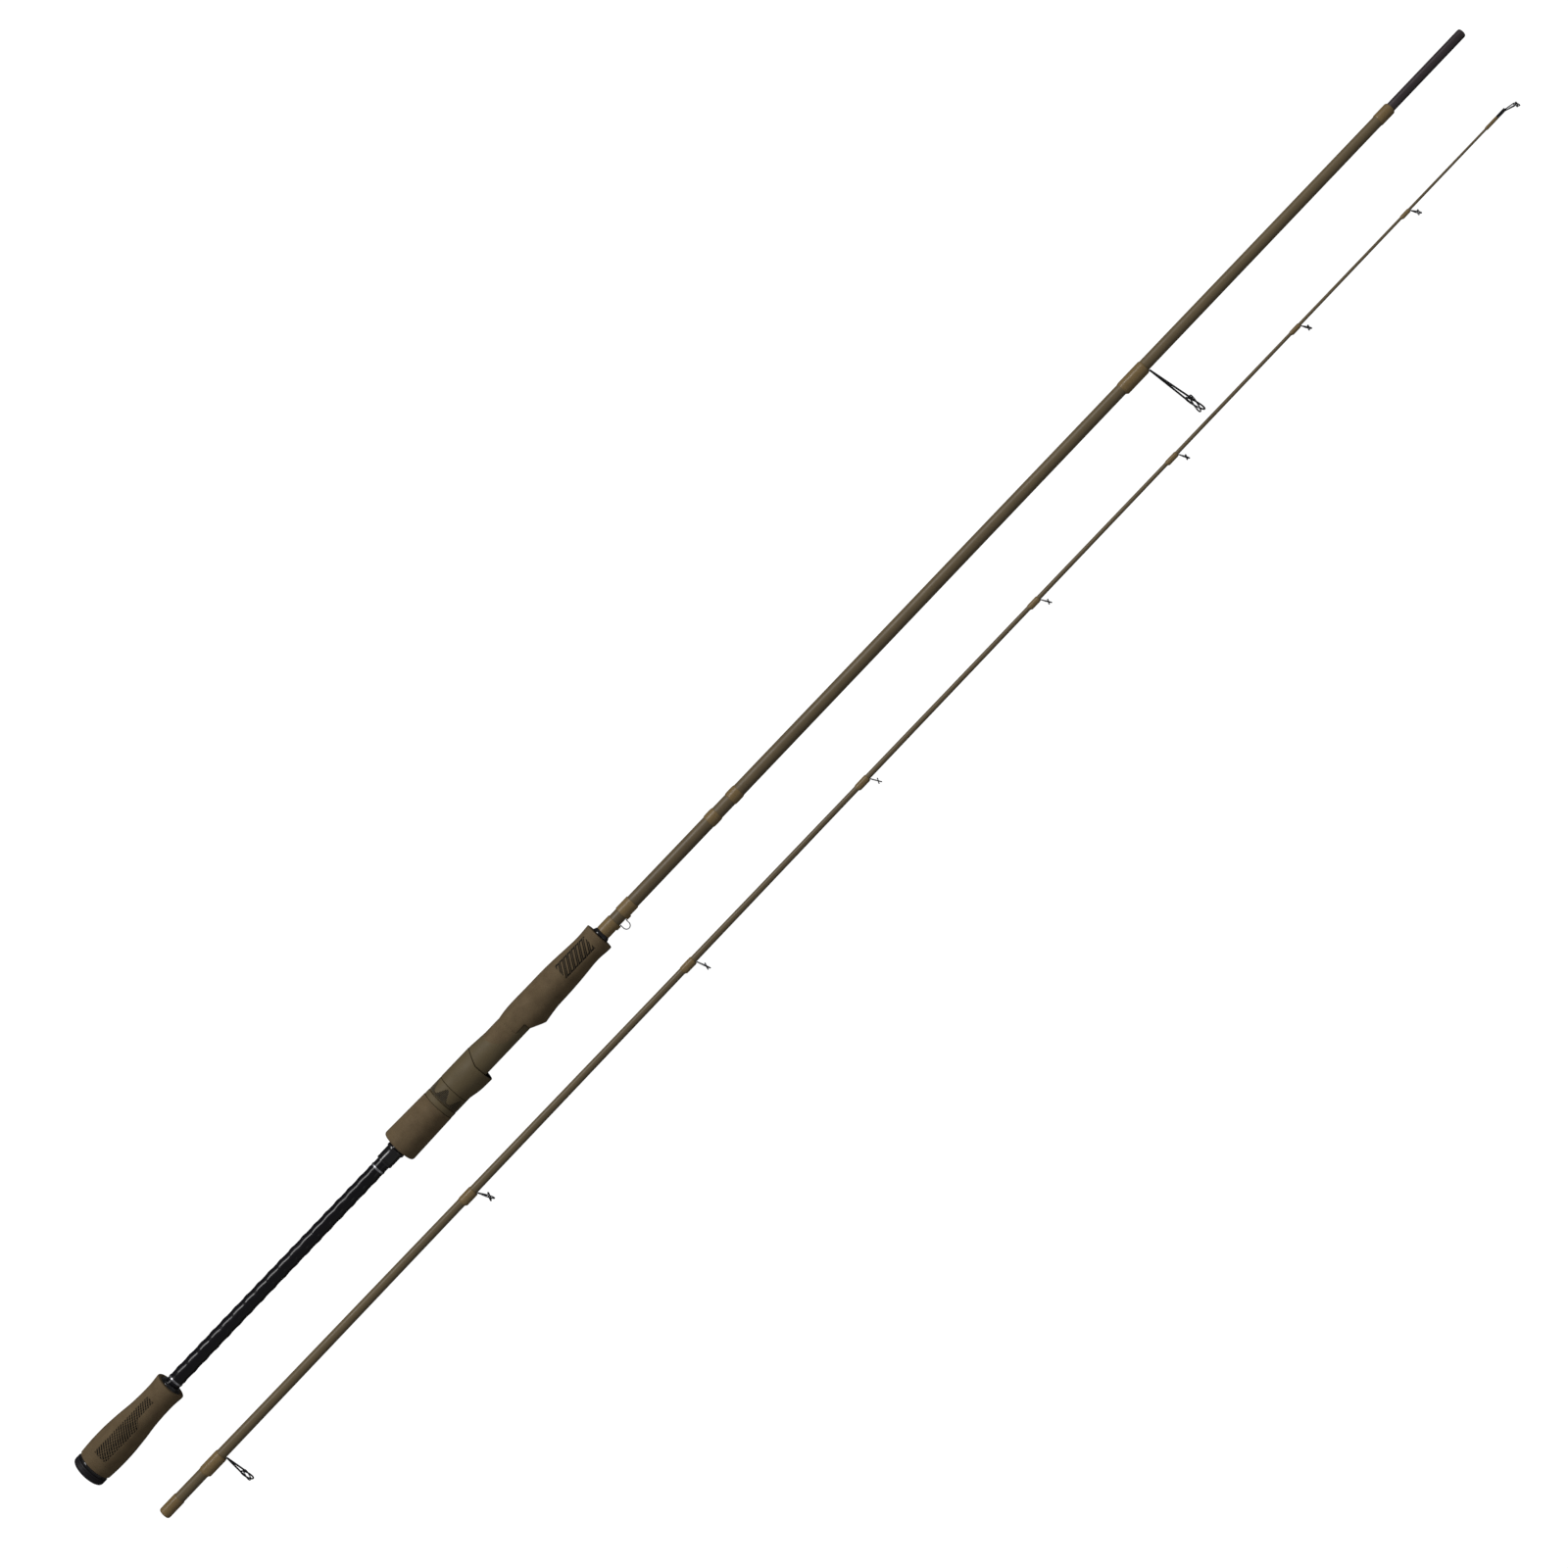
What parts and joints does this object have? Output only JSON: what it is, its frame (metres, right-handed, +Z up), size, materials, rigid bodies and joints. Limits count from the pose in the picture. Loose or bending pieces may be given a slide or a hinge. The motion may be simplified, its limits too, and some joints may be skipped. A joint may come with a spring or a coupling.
{
  "type": "spinning rod",
  "caption": "Two-piece spinning rod lying taken apart: foam grips, reel seat with a screw-down hood, tapered blanks, wire-framed ring guides, spigot ferrule.",
  "frame": {"origin": "centre of the butt cap's end face, on the butt section's axis", "axes": "+X along the rod from butt to tip, -Y toward the guides, +Z up, with both sections lying on their sides"},
  "size_m": [1.336, 0.0974, 0.0273],
  "materials": {
    "olive_foam": "matt closed-cell foam",
    "olive_moulding": "soft matt moulding",
    "black_rubber": "matt rubber",
    "gloss_black": "polished black",
    "olive_blank": "satin painted carbon",
    "brown_wrap": "thread under clear resin",
    "dark_graphite": "bare ground carbon",
    "black_wire": "gloss black plated wire",
    "steel_wire": "dark steel wire",
    "ceramic": "polished ceramic",
    "arbor_foam": "rigid foam"
  },
  "bodies": {
    "butt_section": {"butt_blank": "olive_blank", "butt_cap": "black_rubber", "butt_trim_ring": "gloss_black", "ferrule_wrap_butt": "brown_wrap", "fixed_hood_liner": "gloss_black", "foregrip": "olive_foam", "foregrip_check": "gloss_black", "guide_1_frame": "black_wire", "guide_1_ring": "ceramic", "guide_1_wrap": "brown_wrap", "handle_ring_front": "gloss_black", "handle_ring_rear": "gloss_black", "keeper_wrap_front": "brown_wrap", "keeper_wrap_rear": "brown_wrap", "rear_grip": "olive_foam", "rear_grip_check": "gloss_black", "reel_seat_body": "olive_moulding", "seat_arbor_front": "arbor_foam", "seat_arbor_rear": "arbor_foam", "seat_rear_collar": "gloss_black", "spigot": "dark_graphite", "trim_wrap_front": "brown_wrap", "trim_wrap_rear": "brown_wrap"},
    "hood": {"hood_ring": "olive_moulding", "sliding_hood": "olive_moulding", "sliding_hood_liner": "gloss_black"},
    "nut": {"locking_nut": "olive_moulding", "nut_sleeve": "olive_foam", "nut_trim_band": "olive_moulding"},
    "keeper": {"hook_keeper": "steel_wire"},
    "tip_section": {"tip_blank": "olive_blank", "ferrule_wrap_tip": "brown_wrap", "tip_top_ring": "ceramic", "tip_top_frame": "black_wire", "tip_wrap": "brown_wrap", "guide_2_frame": "black_wire", "guide_2_ring": "ceramic", "guide_2_wrap": "brown_wrap", "guide_3_frame": "black_wire", "guide_3_ring": "ceramic", "guide_3_wrap": "brown_wrap", "guide_4_frame": "black_wire", "guide_4_ring": "ceramic", "guide_4_wrap": "brown_wrap", "guide_5_frame": "black_wire", "guide_5_ring": "ceramic", "guide_5_wrap": "brown_wrap", "guide_6_frame": "black_wire", "guide_6_ring": "ceramic", "guide_6_wrap": "brown_wrap", "guide_7_frame": "black_wire", "guide_7_ring": "ceramic", "guide_7_wrap": "brown_wrap", "guide_8_frame": "black_wire", "guide_8_ring": "ceramic", "guide_8_wrap": "brown_wrap", "guide_9_frame": "black_wire", "guide_9_ring": "ceramic", "guide_9_wrap": "brown_wrap"}
  },
  "joints": [
    {"name": "hood_slide", "type": "slide", "parent": "butt_section", "child": "hood", "axis": [1, 0, 0], "range_m": [-0.012, 0]},
    {"name": "nut_spin", "type": "hinge", "parent": "hood", "child": "nut", "pos_m": [0.323, 0, 0], "axis": [1, 0, 0], "range_deg": [-2880, 0]},
    {"name": "keeper_fold", "type": "hinge", "parent": "butt_section", "child": "keeper", "pos_m": [0.51535, -0.00538, 0], "axis": [1, 0, 0], "range_deg": [-85, 85]},
    {"name": "tip_section_slide", "type": "slide", "parent": "butt_section", "child": "tip_section", "axis": [1, 0, 0], "range_m": [0, 1.2531]}
  ],
  "couplings": [
    {"joint": "nut_spin", "follows": "hood_slide", "rad_per_m": 4188.8}
  ]
}
